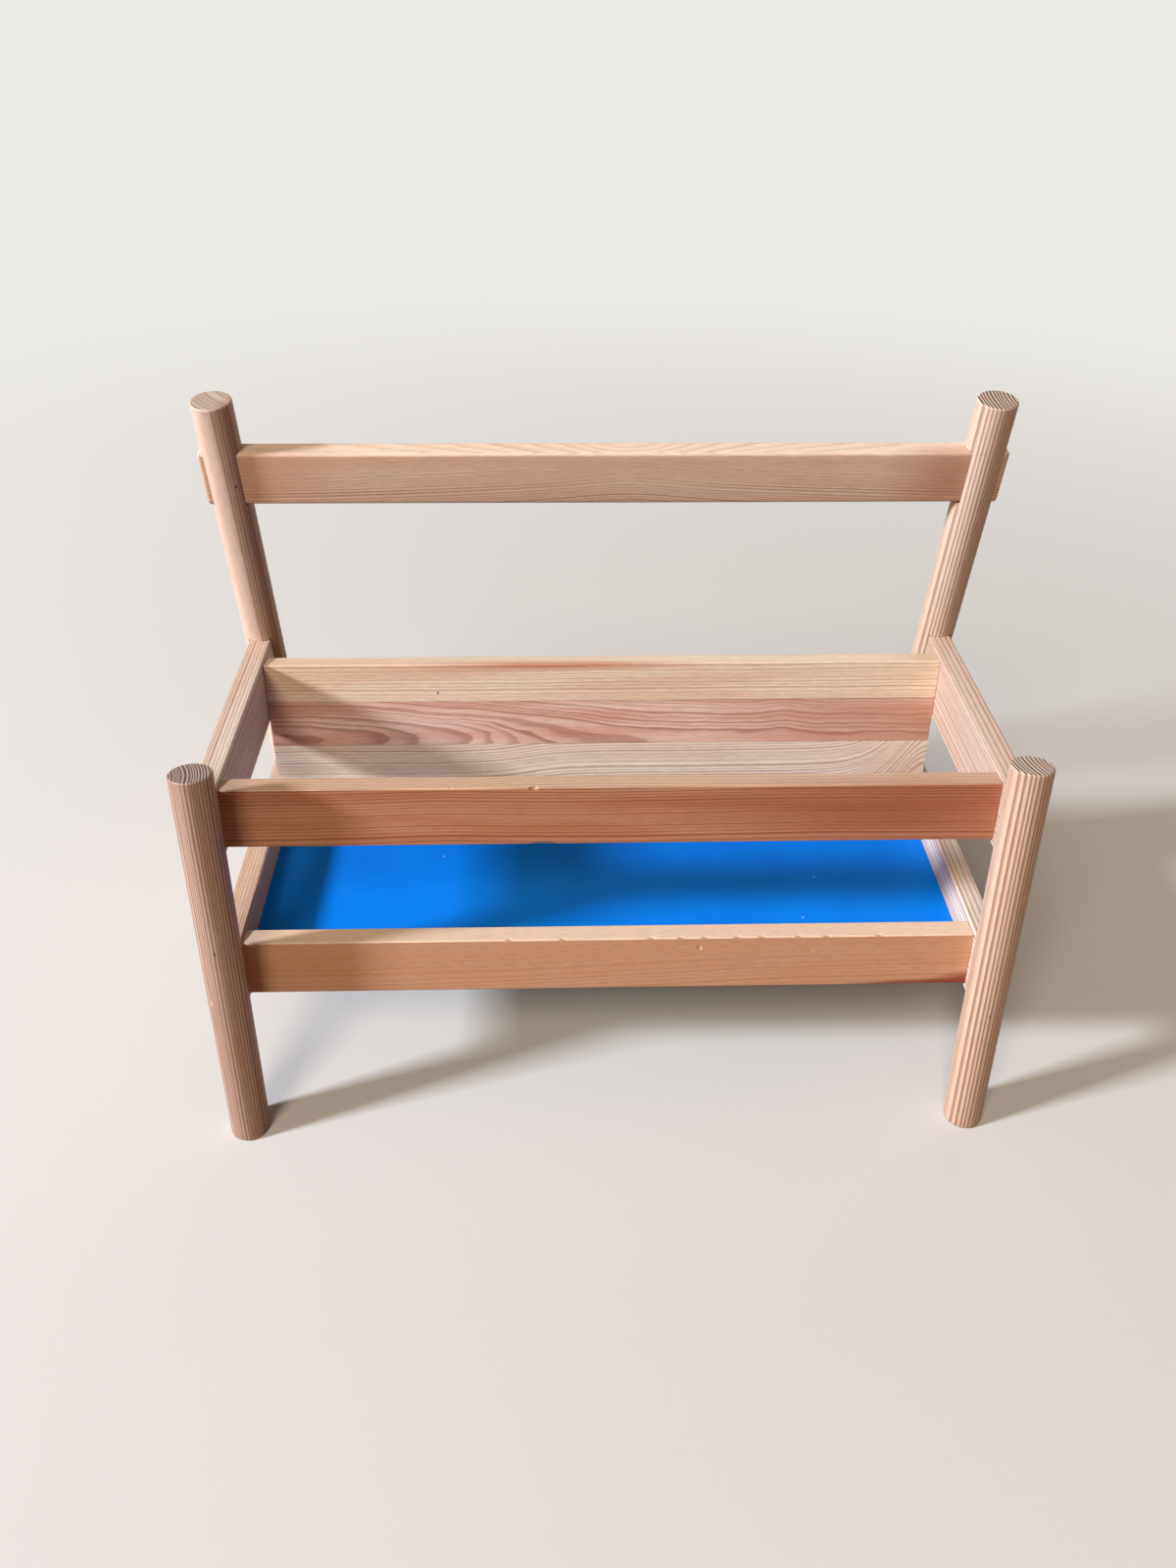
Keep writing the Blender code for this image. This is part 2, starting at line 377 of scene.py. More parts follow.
# %% [markdown]
# ## Knocks
# The real front planks have been knocked about a little: a splinter is missing from the upper
# one's top edge and a sliver from its bottom edge, and the lower one has a row of small dents
# along its top edge and a short scratch on its face. Each is scooped out with a flattened
# sphere, which leaves a shallow hollow like the real ones.

# %% Scoop small hollows out of the front planks
# A sphere turned a little off square never lies flush with a plank's faces, which spoils cuts
TURN_X, TURN_Y, TURN_Z = 0.07, 0.05, 0.03
# A plank with a hollow in it has more points than this, so fewer mean that a cut went wrong
FEWEST_POINTS = 100


def scoop(level, x, back, up, size):
    """Takes a hollow out of a front plank, at a place seen from its face and its top edge."""
    plank = front_rails[level]
    clear()
    bpy.ops.mesh.primitive_uv_sphere_add(
        segments=18, ring_count=11, radius=1,
        location=place(FRONT, x, SETBACK + back, front_tops[level] + up),
        rotation=(TURN_X - LEAN, TURN_Y, TURN_Z))
    tool = bpy.context.object
    tool.scale = size
    bake_place(tool)
    cut(plank, tool)
    bpy.data.objects.remove(tool)
    if len(plank.data.vertices) < FEWEST_POINTS:
        raise ValueError(f"the cut at {x} spoilt {plank.name}")


# The splinter, a smaller nick to its left, the sliver, and the lower plank's scratch
scoop("upper", -0.0435, 0.0003, 0, (0.0023, 0.0016, 0.0010))
scoop("upper", -0.0910, 0.0003, 0, (0.0018, 0.0011, 0.0006))
scoop("upper", -0.0396, 0.0003, -FRONT_HIGH, (0.0085, 0.0016, 0.0008))
scoop("lower", 0.0544, -0.0002, -0.0073, (0.0011, 0.0004, 0.0018))
# The dents along the lower plank's top edge, in three lengths by turns
DENTS = (-0.061, -0.029, 0.024, 0.042, 0.0565, 0.076, 0.091, 0.113, 0.130, 0.162)
SHORT_DENT, LONGER_BY = 0.0022, 0.0006
for number, x in enumerate(DENTS):
    scoop("lower", x, 0.0009, 0.0001, (SHORT_DENT + LONGER_BY * (number % 3), 0.0012, 0.0006))
print("dents in the lower plank:", len(DENTS))

# %% [markdown]
# ## Grooves for the tray
# The blue tray sits in a groove in each lower rail and in the board. The grooves are cut with
# a block a hair larger than the tray, so the wood closes over the tray's edges, which don't
# show on the real shelf either.

# %% Cut the tray's grooves, then remove the cutting blocks
tray_low, tray_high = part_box("tray")
tray_mid = [(low + high) / 2 for low, high in zip(tray_low, tray_high)]
tray_size = [high - low + 2 * FIT for low, high in zip(tray_low, tray_high)]
groove = block("groove", tray_mid, tray_size)
for item in (side_rails["lower", "left"], side_rails["lower", "right"],
             front_rails["lower"], staves["bottom"]):
    cut(item, groove)
for cutter in (groove, bar_slot, *sockets.values()):
    bpy.data.objects.remove(cutter)
print("tray:", [round(v, 4) for v in tray_size])

# %% [markdown]
# ## Handing the shapes over
# Every new shape stands for one piece of the engineered model, and that piece is hidden. Each
# new shape is hung on the body it moves with. Nothing on this shelf moves, so all of them ride
# on the root.

# %% Hang the finished shapes on the root and hide the pieces they stand for
for (level, side), rail in side_rails.items():
    finish_piece(rail, "pine", f"{level}_side_rail_{side}")
for (pair, side), item in legs.items():
    finish_piece(item, "pine", f"{PAIR_NAMES[pair]}_post_{side}")
finish_piece(top_bar, "pine", "crossbar")
finish_piece(front_rails["upper"], "pine_red", "upper_front_rail")
finish_piece(front_rails["lower"], "pine_honey", "lower_front_rail")
for name, stave in staves.items():
    finish_piece(stave, "pine_board", f"back_stave_{name}")

# %% [markdown]
# ## How lacquered pine looks
# Pine grows one ring a year: a wide pale band of spring wood and a narrow dark band of autumn
# wood that ends sharply. A board is a flat slice through those rings, so the finish computes
# the rings of a round trunk in three dimensions and lets the board's faces cut through them.
# That gives stripes on one face, arches on another and curved lines on the end grain, all
# joined at the edges. Each board has its own place in its own trunk. Two more layers go with
# the rings: fibres along the grain, and broad streaks that are redder. Clear satin lacquer
# gives a soft gloss.

# %% Colours, and the one function that adds a node
def linear(code):
    """Turns an sRGB hex colour into the linear colour that a shader reads."""
    parts = [int(code[i:i + 2], 16) / 255 for i in (1, 3, 5)]
    return [c / 12.92 if c <= 0.04045 else ((c + 0.055) / 1.055) ** 2.4 for c in parts] + [1]


def add(tree, kind, inputs=None, stops=(), **settings):
    """Adds one shader node, sets it up, and fills or links the inputs that are given."""
    made = tree.nodes.new("ShaderNode" + kind)
    for key, value in settings.items():
        setattr(made, key, value)
    if stops:
        shades = [linear(s) if isinstance(s, str) else (s, s, s, 1) for _, s in stops]
        band = made.color_ramp.elements
        band[0].position, band[0].color = stops[0][0], shades[0]
        band[1].position, band[1].color = stops[-1][0], shades[-1]
        for (position, _), shade in list(zip(stops, shades))[1:-1]:
            band.new(position).color = shade
    for key, value in (inputs or {}).items():
        usable = [s for s in made.inputs if s.enabled]
        if isinstance(key, int):
            socket = usable[key]
        else:
            socket = next(s for s in usable if s.name == key)
        if isinstance(value, bpy.types.Node):
            value = next(s for s in value.outputs if s.enabled)
        if isinstance(value, bpy.types.NodeSocket):
            tree.links.new(value, socket)
        else:
            socket.default_value = linear(value) if isinstance(value, str) else value
    return made


def new_finish(name):
    """Starts an empty material and returns it with its node tree."""
    made = bpy.data.materials.new(name)
    made.use_nodes = True
    made.node_tree.nodes.clear()
    return made, made.node_tree


print("sRGB #808080 is linear", round(linear("#808080")[0], 3))

# %% [markdown]
# The rings need the distance of every point from the trunk's centre line. The line is given in
# the board's own millimetres: where it lies seen from the board's middle, and where it bends.
# A bend is either a step, where the trunk shifts sideways, or a hump, where it swells round a
# branch. Steps give lines that turn down near an end, and humps give arches. A step follows
# the curve called tanh, which goes smoothly from -1 to 1, and a hump is 1 less its square.

# %% Distance from the trunk's centre line
def trunk_distance(tree, own, wander, wave, seed, centre, bends):
    """Returns how far each point lies from a bent centre line, in millimetres."""
    # Slow wander, so that no grain line is perfectly straight. The noise lies around a half,
    # so it shifts the wood by half of its span, and the centre line is shifted with it
    span = 4 * wander
    slow = add(tree, "Mapping", {"Vector": own, "Location": (seed, seed * 0.7, seed * 1.3),
                                 "Scale": (1 / wave, 3 / wave, 3 / wave)})
    drift = add(tree, "TexNoise", {"Vector": slow, "Scale": 1.0, "Detail": 2.0})
    moved = add(tree, "VectorMath", {0: drift.outputs["Color"], 1: (0, span, span), 2: own},
                operation="MULTIPLY_ADD")
    run, across, up = add(tree, "SeparateXYZ", {0: moved}).outputs
    reach = []
    for axis, coordinate in enumerate((across, up)):
        line = centre[axis] + span / 2
        for kind, at, width, *shift in bends:
            if not shift[axis]:
                continue
            bend = add(tree, "Math", {0: run, 1: 1 / width, 2: -at / width},
                       operation="MULTIPLY_ADD")
            bend = add(tree, "Math", {0: bend}, operation="TANH")
            if kind == "hump":
                bend = add(tree, "Math", {0: bend, 1: bend}, operation="MULTIPLY")
                bend = add(tree, "Math", {0: 1.0, 1: bend}, operation="SUBTRACT")
            line = add(tree, "Math", {0: bend, 1: shift[axis], 2: line},
                       operation="MULTIPLY_ADD")
        reach.append(add(tree, "Math", {0: coordinate, 1: line}, operation="SUBTRACT"))
    flat = add(tree, "CombineXYZ", {1: reach[0], 2: reach[1]})
    return add(tree, "VectorMath", {0: flat}, operation="LENGTH")


print("one width past its middle, a step has reached", round(math.tanh(1), 2))

# %% [markdown]
# Years differ. The ring number is the distance divided by the ring width, with a slow noise
# added, and its fraction says where in the year a point grew. Through the year the wood
# darkens slowly, then falls back at once when the next spring starts. A random number for each
# year makes some rings faint and some strong.

# %% Rings from the distance
# Good and bad years come in spells, and a trunk grows through this many of them per millimetre
SPELLS = 0.11


def autumn_wood(tree, distance, ring, seed, share, faintest, unevenness):
    """Returns 0 for spring wood and up to 1 for autumn wood, which fills a share of a year."""
    age = add(tree, "Math", {0: distance, 1: SPELLS, 2: seed}, operation="MULTIPLY_ADD")
    growth = add(tree, "TexNoise", {"W": age, "Scale": 1.0, "Detail": 1.0},
                 noise_dimensions="1D")
    rings = add(tree, "Math", {0: distance, 1: ring}, operation="DIVIDE")
    rings = add(tree, "Math", {0: growth, 1: unevenness, 2: rings}, operation="MULTIPLY_ADD")
    year = add(tree, "Math", {0: rings}, operation="FLOOR")
    luck = add(tree, "TexWhiteNoise", {"W": year}, noise_dimensions="1D")
    luck = add(tree, "Math", {0: luck.outputs["Value"], 1: 1 - faintest, 2: faintest},
               operation="MULTIPLY_ADD")
    season = add(tree, "Math", {0: rings}, operation="FRACT")
    season = add(tree, "ValToRGB", {"Fac": season}, stops=(
        (0.0, 0.12), (0.08, 0.0), (1 - 1.8 * share, 0.08), (1 - 1.2 * share, 0.6),
        (1 - 0.8 * share, 1.0), (0.95, 0.95), (1.0, 0.15)))
    return add(tree, "Math", {0: season, 1: luck}, operation="MULTIPLY")


print("a spell of good or bad years fills about", round(1 / SPELLS), "mm of the trunk")

# %% [markdown]
# The finish itself mixes the spring and autumn colours by the rings. The real fibres are a
# third of a millimetre thick, too fine for the picture, so they are drawn at 0.8 mm. Redder
# streaks are about 9 mm wide and a hand long. End grain drinks the lacquer, so it is greyer
# with stronger lines. Marks are small ellipsoids with their own colour: a pin knot, a stain,
# a dent that shows raw wood. One long band down a leg's right side is partly painted shade.
# Each mark says where it is, how far it reaches three ways, its colour, how far out it starts
# to fade as a share of its reach, and how strong it is.

# %% The pine finish
# Sizes in millimetres: fibres and streaks, and how far to each side the calm table goes
FIBRE_LONG, FIBRE_WIDE = 8, 0.8
STREAK_LONG, STREAK_WIDE = 140, 9
CALM_REACH = 20


def pine(name, middle, along, up, centre, ring=2.1, bends=(), early="#e9c6a6",
         late="#a97957", tint="#d9a27c", tint_amount=0.4, contrast=0.85, wander=0.5,
         wave=90.0, calm=(), calm_along="Z", painted_top_light=None, painted_top_line_share=0.4, share=0.32,
         faintest=0.5, unevenness=2.4, end_early="#cbaa8e", end_late="#3c2619", seed=0.0,
         marks=()):
    """Makes lacquered pine for one board, cut from its own place in a trunk.

    The grain runs along, and up is the board's own up. Spring wood is early, autumn wood is
    late, and streaks of tint lie under both. Faces that look up can be given painted light from
    above: a lighter colour and fainter lines, which also paint a highlight on rounded top
    edges.
    calm says how strong the lines are at heights above the board's middle, or, along Y, at
    places across it.
    """
    # Planed pine under clear satin lacquer: warm stripes with a soft sheen, nothing mirrored
    finish, tree = new_finish(name)
    along, up = Vector(along).normalized(), Vector(up).normalized()
    turn = Matrix((along, up.cross(along), up)).transposed().to_euler()
    space = add(tree, "TexCoord").outputs
    own = add(tree, "Mapping", {"Vector": space["Object"], "Location": middle, "Rotation": turn,
                                "Scale": (0.001, 0.001, 0.001)}, vector_type="TEXTURE")
    distance = trunk_distance(tree, own, wander, wave, seed, centre, bends)
    autumn = autumn_wood(tree, distance, ring, seed, share, faintest, unevenness)

    fine = add(tree, "Mapping", {"Vector": own, "Location": (seed * 3, seed, 0),
                                 "Scale": (1 / FIBRE_LONG, 1 / FIBRE_WIDE, 1 / FIBRE_WIDE)})
    fibre = add(tree, "TexNoise", {"Vector": fine, "Scale": 1.0, "Detail": 1.0})
    broad = add(tree, "Mapping", {"Vector": own, "Location": (seed, 9.0, seed * 2),
                                  "Scale": (1 / STREAK_LONG, 1 / STREAK_WIDE, 1 / STREAK_WIDE)})
    broad = add(tree, "TexNoise", {"Vector": broad, "Scale": 1.0, "Detail": 2.0})
    streak = add(tree, "MapRange", {"Value": broad, "From Min": 0.36, "From Max": 0.66,
                                    "To Max": tint_amount}, interpolation_type="SMOOTHSTEP")
    colour = add(tree, "Mix", {0: streak, "A": early, "B": tint}, data_type="RGBA")
    # Painted light from above: faces that look up take a lighter colour, which also paints a
    # highlight on rounded top edges
    if painted_top_light:
        painted_top_light_share = add(tree, "VectorMath", {0: space["Normal"], 1: up}, operation="DOT_PRODUCT")
        painted_top_light_share = add(tree, "MapRange", {"Value": painted_top_light_share, "From Min": 0.15, "From Max": 0.5})
        colour = add(tree, "Mix", {0: painted_top_light_share, "A": colour, "B": painted_top_light}, data_type="RGBA")
    dark = add(tree, "Math", {0: autumn, 1: contrast}, operation="MULTIPLY")
    if calm:
        height = add(tree, "SeparateXYZ", {0: own}).outputs[calm_along]
        height = add(tree, "MapRange", {"Value": height, "From Min": -CALM_REACH,
                                        "From Max": CALM_REACH})
        table = [(0.5 + z / (2 * CALM_REACH), strength) for z, strength in calm]
        fade = add(tree, "ValToRGB", {"Fac": height}, stops=table)
        dark = add(tree, "Math", {0: dark, 1: fade}, operation="MULTIPLY")
    # Painted light from above also fades the lines on faces that look up
    if painted_top_light:
        fade = add(tree, "Math", {0: painted_top_light_share, 1: painted_top_line_share - 1, 2: 1.0},
                   operation="MULTIPLY_ADD")
        dark = add(tree, "Math", {0: dark, 1: fade}, operation="MULTIPLY")
    colour = add(tree, "Mix", {0: dark, "A": colour, "B": late}, data_type="RGBA")
    thread = add(tree, "ValToRGB", {"Fac": fibre}, stops=((0.3, 0.74), (0.7, 1.0)))
    colour = add(tree, "Mix", {0: 0.6, "A": colour, "B": thread}, data_type="RGBA",
                 blend_type="MULTIPLY")

    # End grain: sawn ends, with the greyer spring wood and the darker lines
    end = add(tree, "VectorMath", {0: space["Normal"], 1: along}, operation="DOT_PRODUCT")
    end = add(tree, "Math", {0: end}, operation="ABSOLUTE")
    end = add(tree, "MapRange", {"Value": end, "From Min": 0.8, "From Max": 0.95})
    sawn = add(tree, "MapRange", {"Value": autumn, "From Min": 0.05, "From Max": 0.6})
    sawn = add(tree, "Mix", {0: sawn, "A": end_early, "B": end_late}, data_type="RGBA")
    colour = add(tree, "Mix", {0: end, "A": colour, "B": sawn}, data_type="RGBA")

    for at, size, shade, edge, much in marks:
        off = add(tree, "VectorMath", {0: own, 1: at}, operation="SUBTRACT")
        off = add(tree, "VectorMath", {0: off, 1: size}, operation="DIVIDE")
        off = add(tree, "VectorMath", {0: off}, operation="LENGTH")
        spot = add(tree, "MapRange", {"Value": off, "From Min": 1.0, "From Max": edge,
                                      "To Max": much})
        colour = add(tree, "Mix", {0: spot, "A": colour, "B": shade}, data_type="RGBA")

    # Autumn wood is harder: it stands a trace proud and takes a slightly better shine
    gloss = add(tree, "Math", {0: fibre, 1: 0.14, 2: 0.42}, operation="MULTIPLY_ADD")
    gloss = add(tree, "Math", {0: autumn, 1: -0.07, 2: gloss}, operation="MULTIPLY_ADD")
    relief = add(tree, "Math", {0: autumn, 1: 0.6, 2: fibre}, operation="MULTIPLY_ADD")
    bump = add(tree, "Bump", {"Height": relief, "Strength": 0.3, "Distance": 0.00006})
    shader = add(tree, "BsdfPrincipled", {
        "Base Color": colour, "Roughness": gloss, "Normal": bump, "IOR": 1.5,
        "Specular IOR Level": 0.28})
    add(tree, "OutputMaterial", {"Surface": shader})
    return finish


def dress(piece, finish):
    """Gives a piece its finish."""
    piece.data.materials.clear()
    piece.data.materials.append(finish)
    print(piece.name, "wears", finish.name)


print("fibres are drawn", FIBRE_WIDE, "mm wide and streaks", STREAK_WIDE, "mm wide")

# %% [markdown]
# ## Legs: pale pine with stripes
# On three of the legs the rings run front to back, so the front shows even stripes and the
# sawn top shows from ten to sixteen near-parallel lines. The rear left leg is cut the other
# way round: plain in front, with its lines on the side. A leg is turned from a straight-grained
# stick, so its lines hardly wander.

# %% Finish the legs
LEG_LOOKS = {
    (FRONT, "left"): dict(
        centre=(-44, -14), ring=1.5, early="#d3b3a1", late="#704732", tint="#b58a72",
        wander=0.25, share=0.38, faintest=0.6, end_early="#bda595", end_late="#4d3a2e",
        seed=3.1,
        marks=(((16.2, 0.4, -12), (2.5, 0.7, 1.5), "#4a3328", 0.4, 1.0),
               ((-20.8, -7.2, -9.6), (3.0, 0.5, 1.5), "#e0c6b0", 0.4, 1.0))),
    (FRONT, "right"): dict(
        centre=(62, 8), ring=2.2, early="#e6c6ac", late="#784429", tint="#e0b898",
        tint_amount=0.3, contrast=0.8, wander=0.10, share=0.36, faintest=0.8, unevenness=0.8,
        end_early="#e3c3a9", end_late="#2e1c12", seed=5.3,
        marks=(((-37.6, -0.3, -12), (2.0, 0.7, 1.5), "#6b4634", 0.4, 1.0),)),
    (REAR, "left"): dict(
        centre=(44, 44), ring=2.5, early="#ecd0bd", late="#6e4431", tint="#d9b49e",
        wander=0.12, contrast=0.9, share=0.42, end_early="#c9b2a0", end_late="#a68d7a",
        seed=7.7, calm_along="Y", calm=((-20, 0.12), (0, 0.12), (5, 1.0), (20, 1.0)),
        # Long brown band down the right side: part heartwood streak, part painted shade
        marks=(((120, 11, -5), (260, 9, 11), "#94644b", 0.2, 0.6),
               ((148.8, 6.7, -10), (1.2, 0.8, 1.5), "#4a3026", 0.4, 1.0))),
    (REAR, "right"): dict(
        centre=(72, 4), ring=2.0, early="#edd2ba", late="#754630", tint="#dfb595",
        tint_amount=0.3, contrast=0.75, wander=0.10, share=0.36, faintest=0.75,
        unevenness=0.8, end_early="#dcbca3", end_late="#2e1c12", seed=9.2),
}
for (pair, side), look in LEG_LOOKS.items():
    middle = place(pair, SIDES[side] * POST_X, 0, LEG_LENGTHS[pair] / 2)
    dress(legs[pair, side], pine(f"pine_{legs[pair, side].name}", middle, up_of(pair),
                                 back_of(pair), **look))

# %% [markdown]
# ## Side rails: pale quarter-cut pine
# The side rails show close straight lines along their length on every face, with a rosy
# tint here and there.

# %% Finish the side rails
RAIL_LOOKS = {
    ("upper", "left"): dict(centre=(55, 60), ring=1.8, early="#f0dccb", late="#9c6f55",
                            wander=0.3, seed=11.0),
    ("upper", "right"): dict(centre=(60, -45), ring=1.9, early="#e9d0ba", tint="#dbae90",
                             late="#a06d50", wander=0.3, seed=12.4),
    ("lower", "left"): dict(centre=(-60, 40), ring=1.9, early="#e8cbb3", late="#a87c61",
                            wander=0.4, seed=13.9),
    ("lower", "right"): dict(centre=(50, 55), ring=2.3, early="#ffeedd", late="#a1765b",
                             wander=0.3, seed=15.5),
}
for (level, side), look in RAIL_LOOKS.items():
    middle = (SIDES[side] * POST_X, 0, RAIL_TOPS[level] - RAIL_HIGH / 2)
    dress(side_rails[level, side], pine(f"pine_{level}_rail_{side}", middle, (0, 1, 0),
                                        (0, 0, 1), **look))

# %% [markdown]
# ## Top bar
# The top bar is pale, calm in its upper half, with low arches along its lower half: the trunk's
# centre lies well below it and swells under the middle. Its top face gets painted light from
# above: lighter, with fainter lines.

# %% Finish the top bar
dress(top_bar, pine(
    "pine_top_bar", bar_middle, (1, 0, 0), up_of(REAR), centre=(10, -44), ring=1.5,
    bends=(("hump", 10, 150, 0, 8), ("hump", 14, 38, 0, 4)), early="#eaccb0",
    # Painted light from above on the top face, and a painted highlight on the rounded top edges
    late="#7c5138", tint="#e8b99a", tint_amount=0.5, contrast=0.8, wander=0.3, painted_top_light="#fbdec3",
    painted_top_line_share=0.35, calm=((-20, 1.0), (-9, 0.9), (-1, 0.3), (16, 0.15), (17, 1.0)), seed=21.0,
    marks=(((-205, -7, 0), (48, 14, 40), "#c98c70", 0.0, 0.5),
           ((207, -7, 0), (42, 14, 40), "#b06c52", 0.0, 0.7))))

# %% [markdown]
# ## Front planks
# The upper front plank is heartwood: red-brown, with tight straight lines. The lower one is
# honey-coloured and almost plain, with a red streak low at its right end. On both, the top
# edge is painted lighter, with fainter lines and a painted highlight on its rounded edge: this
# is painted light from above.

# %% Finish the front planks
plank_middle = {level: place(FRONT, 0, SETBACK + FRONT_THICK / 2, top - FRONT_HIGH / 2)
                for level, top in front_tops.items()}
dress(front_rails["upper"], pine(
    "pine_heartwood", plank_middle["upper"], (1, 0, 0), up_of(FRONT), centre=(60, -64),
    ring=1.35, bends=(("hump", -95, 45, 0, 1.6), ("hump", 120, 90, 0, 1.5)), early="#ca9070",
    late="#5c2b19", tint="#b0623f", tint_amount=0.45, contrast=0.58, wander=0.2,
    # Painted light from above on the top edge, with a painted highlight on its rounding
    painted_top_light="#e2b998", painted_top_line_share=0.6, share=0.3, seed=24.0,
    marks=(((150, -7, 2), (130, 14, 30), "#8f4832", 0.0, 0.6),
           ((-46.5, -7.2, 18.0), (0.9, 1.6, 1.0), "#6b3a26", 0.5, 1.0),
           ((-43.2, -7.2, 18.0), (2.0, 1.6, 1.3), "#dfb08a", 0.5, 1.0),
           ((-39.5, -7.2, -17.4), (9.0, 1.6, 1.4), "#7d6656", 0.6, 1.0))))
dents = tuple(((x * 1000, -7.0, 18.1), (2.6, 1.2, 0.9), "#cb9570", 0.5, 1.0) for x in DENTS)
dress(front_rails["lower"], pine(
    "pine_honey", plank_middle["lower"], (1, 0, 0), up_of(FRONT), centre=(70, -40),
    ring=1.3, bends=(("step", 0, 110, 0, 6),), early="#d4a282", late="#8c5b3c",
    tint="#d2966a", tint_amount=0.35, contrast=0.28, wander=0.25,
    # Painted light from above on the top edge, with a painted highlight on its rounding
    calm=((-20, 1.0), (-2, 1.0), (10, 0.4)), painted_top_light="#f6d8bb", seed=27.0,
    marks=dents + (
        ((203, -7, -19.0), (62, 5, 5.0), "#85402b", 0.6, 0.9),
        ((234, -7, -19.5), (44, 5, 13.0), "#85402b", 0.6, 0.9),
        ((54.4, -7.3, 11.2), (1.6, 1.0, 2.0), "#f0c8a4", 0.5, 1.0),
        ((52.8, -7.3, 11.6), (0.6, 1.0, 1.6), "#7d4c33", 0.5, 0.8),
        ((123, -7.3, 7.6), (1.6, 1.0, 0.9), "#e6b58e", 0.5, 0.8))))

# %% [markdown]
# ## Back board: four staves, four trees
# Edge-glued board mixes trees. The top stave is pale with faint lines and one pin knot. The
# upper stave is rosy: its centre line swings away from the face, so its rings close in long
# tongues at the left and run straight on the right. The lower stave is pale, and its lines
# turn down at the right end.

# %% Finish the staves
STAVE_LOOKS = {
    "top": dict(
        centre=(45, 62), ring=1.7, early="#fce3c4", late="#ad7b58", tint="#eab592",
        contrast=0.5, wander=0.7, seed=31.0,
        marks=(((-108.4, -7, -6.8), (0.9, 1.0, 0.9), "#3a2418", 0.5, 1.0),
               ((-105, -7, 9.5), (60, 6, 3.6), "#d59a7c", 0.0, 0.5),
               ((-30, -7, 12.4), (100, 6, 4.4), "#bd7356", 0.3, 0.75))),
    "upper": dict(
        centre=(-27, -16), ring=2.1,
        bends=(("step", -110, 90, -9, 0), ("step", -10, 70, 0, -5), ("hump", 119, 14, 0, 2.5)),
        early="#f6d2bb", late="#a2624a", tint="#e2a488", tint_amount=0.7, contrast=0.7,
        wander=0.95, wave=48.0, seed=33.3,
        marks=(((215, -7, 0), (150, 14, 40), "#b37a5c", 0.0, 0.7),)),
    "lower": dict(
        centre=(45, -62), ring=1.8,
        bends=(("hump", 221, 26, 0, 50), ("step", -50, 26, 0, 4.0)), early="#ffe9cf",
        late="#8c5536", tint="#f2d0b0", contrast=0.68, wander=0.4, seed=36.1,
        marks=(((210, -7, -8), (42, 7, 26), "#c8906c", 0.0, 0.35),)),
    "bottom": dict(centre=(25, 60), ring=2.1, early="#ecd0b5", late="#b08463", seed=38.2),
}
for name, look in STAVE_LOOKS.items():
    middle = place(FRONT, 0, BOARD_FACE + BOARD_THICK / 2, stave_tops[name] - STAVES[name] / 2)
    dress(staves[name], pine(f"pine_board_{name}", middle, (1, 0, 0), up_of(FRONT), **look))

# %% [markdown]
# ## The blue tray
# A thin board with a smooth satin paint. Sprayed paint is never quite flat: it has a faint
# orange-peel ripple a few millimetres wide, a slight unevenness in its gloss where hands and
# books have rubbed it, and a few pale specks.

# %% Finish the tray
# Noise scales count per metre: rubbed patches of about 70 mm and ripples of about 2.4 mm
PATCHES, RIPPLES = 14.0, 420.0
# The pale specks: where they are, how far they reach, and where they start to fade
SPECKS = ((-0.108, 0.009), (0.139, -0.016), (0.125, -0.055))
SPECK_REACH, SPECK_CORE = 0.0009, 0.0004
# Sprayed satin paint on a smooth board: one strong even blue with a soft sheen
blue, tree = new_finish("blue_satin_paint")
space = add(tree, "TexCoord").outputs["Object"]
cloud = add(tree, "TexNoise", {"Vector": space, "Scale": PATCHES, "Detail": 3.0})
shift = add(tree, "MapRange", {"Value": cloud, "From Min": 0.35, "From Max": 0.7})
colour = add(tree, "Mix", {0: shift, "A": "#007bea", "B": "#0085f6"}, data_type="RGBA")
for x, y in SPECKS:
    off = add(tree, "VectorMath", {0: space, 1: (x, y, tray_high[2])}, operation="DISTANCE")
    speck = add(tree, "MapRange", {"Value": off, "From Min": SPECK_REACH,
                                   "From Max": SPECK_CORE, "To Max": 0.7})
    colour = add(tree, "Mix", {0: speck, "A": colour, "B": "#a9d2f4"}, data_type="RGBA")
rubbed = add(tree, "Math", {0: cloud, 1: 0.14, 2: 0.28}, operation="MULTIPLY_ADD")
peel = add(tree, "TexNoise", {"Vector": space, "Scale": RIPPLES, "Detail": 1.0})
bump = add(tree, "Bump", {"Height": peel, "Strength": 0.2, "Distance": 0.00005})
shader = add(tree, "BsdfPrincipled", {
    "Base Color": colour, "Roughness": rubbed, "Normal": bump, "IOR": 1.5,
    "Specular IOR Level": 0.06})
add(tree, "OutputMaterial", {"Surface": shader})
dress(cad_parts["tray"], blue)

# %% [markdown]
# ## Dowels
# The dowels inside the joints don't show, but they are part of the object, so they get plain
# bare hardwood with a fine fleck.

# %% Finish the dowels
# Flecks per metre, so that each is about 1.1 mm
FLECKS = 900.0
# Turned beech rod, left bare: even, dull and finely flecked
beech, tree = new_finish("bare_beech")
space = add(tree, "TexCoord").outputs["Object"]
fleck = add(tree, "TexNoise", {"Vector": space, "Scale": FLECKS, "Detail": 2.0})
colour = add(tree, "ValToRGB", {"Fac": fleck}, stops=((0.35, "#c79a72"), (0.65, "#dcb48c")))
shader = add(tree, "BsdfPrincipled", {"Base Color": colour, "Roughness": 0.6})
add(tree, "OutputMaterial", {"Surface": shader})
for name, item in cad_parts.items():
    if name.startswith("dowel_"):
        dress(item, beech)

